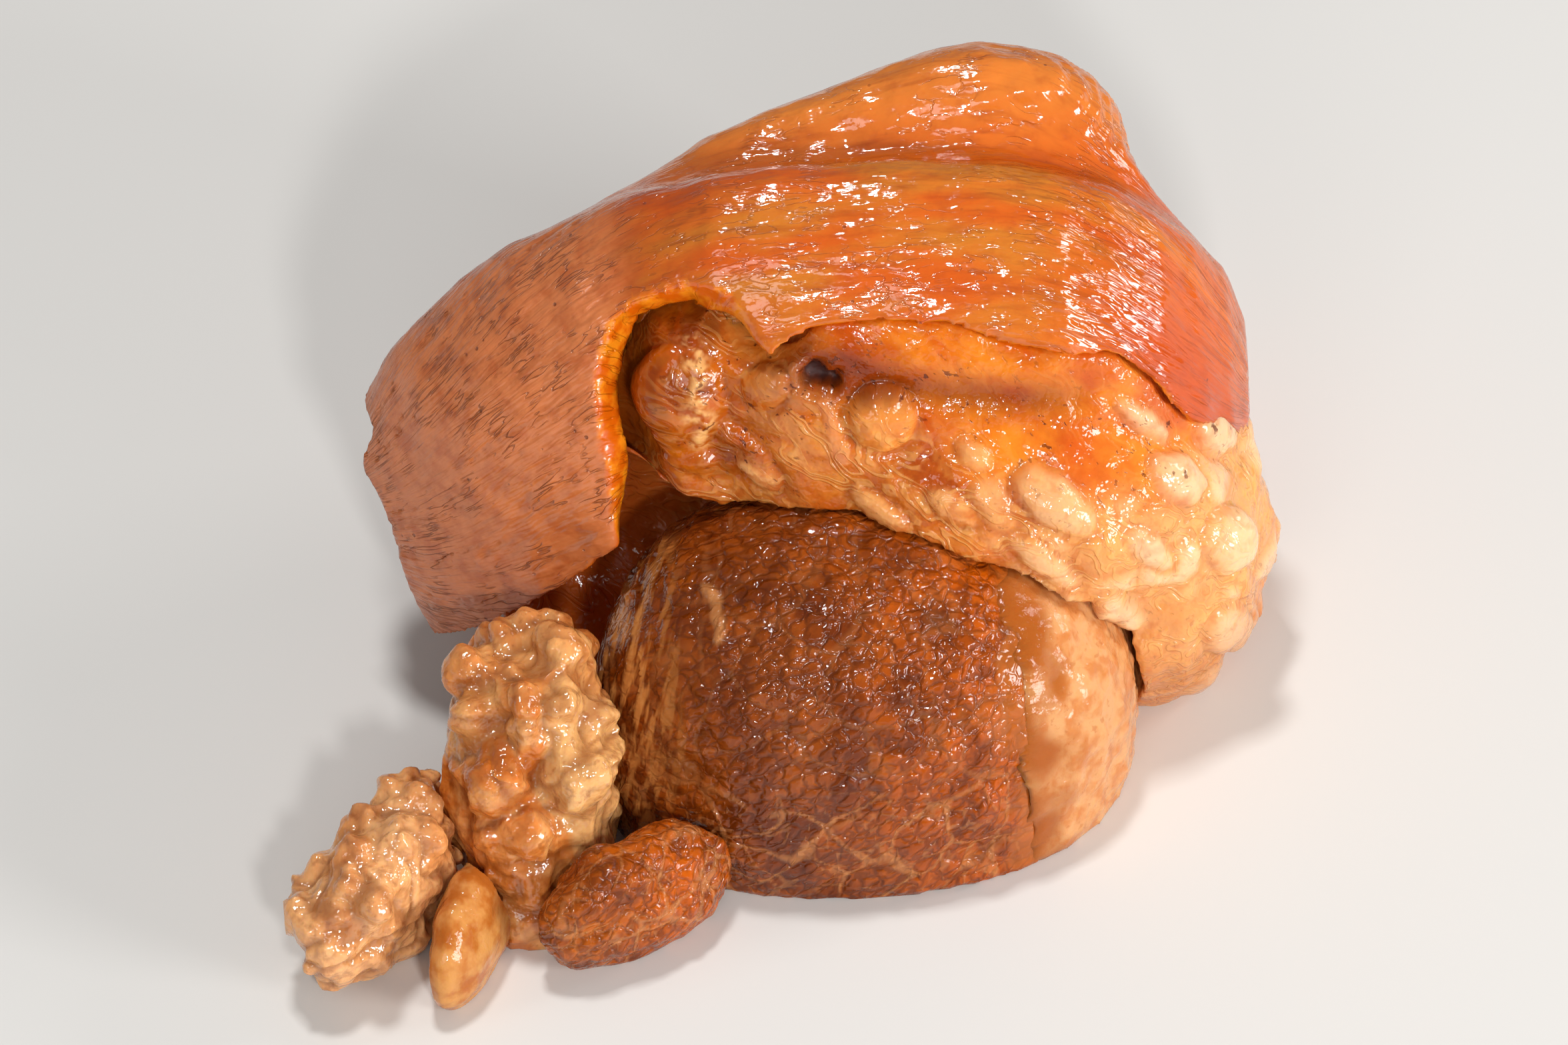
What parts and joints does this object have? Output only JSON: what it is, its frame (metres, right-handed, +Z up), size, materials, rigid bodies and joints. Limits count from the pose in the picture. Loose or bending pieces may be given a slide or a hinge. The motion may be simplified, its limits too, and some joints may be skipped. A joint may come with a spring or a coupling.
{
  "type": "braised pork knuckle piece",
  "caption": "Carved chunk of braised pork knuckle: folded glossy skin with a hanging flap over soft fat, with lean, sinew and gristle at the cut.",
  "frame": {"origin": "middle of the flat base that the piece lies on, at the centre of its bounding box's bottom", "axes": "+X along the fold of the skin, to the right as seen from the carved front, and the longest extent; -Y is the carved front where fat and lean show; +Z is up, away from the flat base, and the shortest extent"},
  "size_m": [0.0854, 0.0718, 0.0524],
  "materials": {
    "skin": "glossy wet braised skin",
    "fat": "glossy translucent braised fat",
    "lean": "moist dark braised meat with pale membrane lines",
    "sinew": "smooth moist pale sinew",
    "gristle": "knobbly moist soft gristle and fat",
    "tendon": "smooth translucent jelly-like tendon"
  },
  "bodies": {
    "root": {"skin": "skin", "fat": "fat", "lean": "lean", "sinew": "sinew", "gristle_upper": "gristle", "gristle_lower": "gristle", "tendon": "tendon", "lean_strand": "lean"}
  },
  "joints": []
}
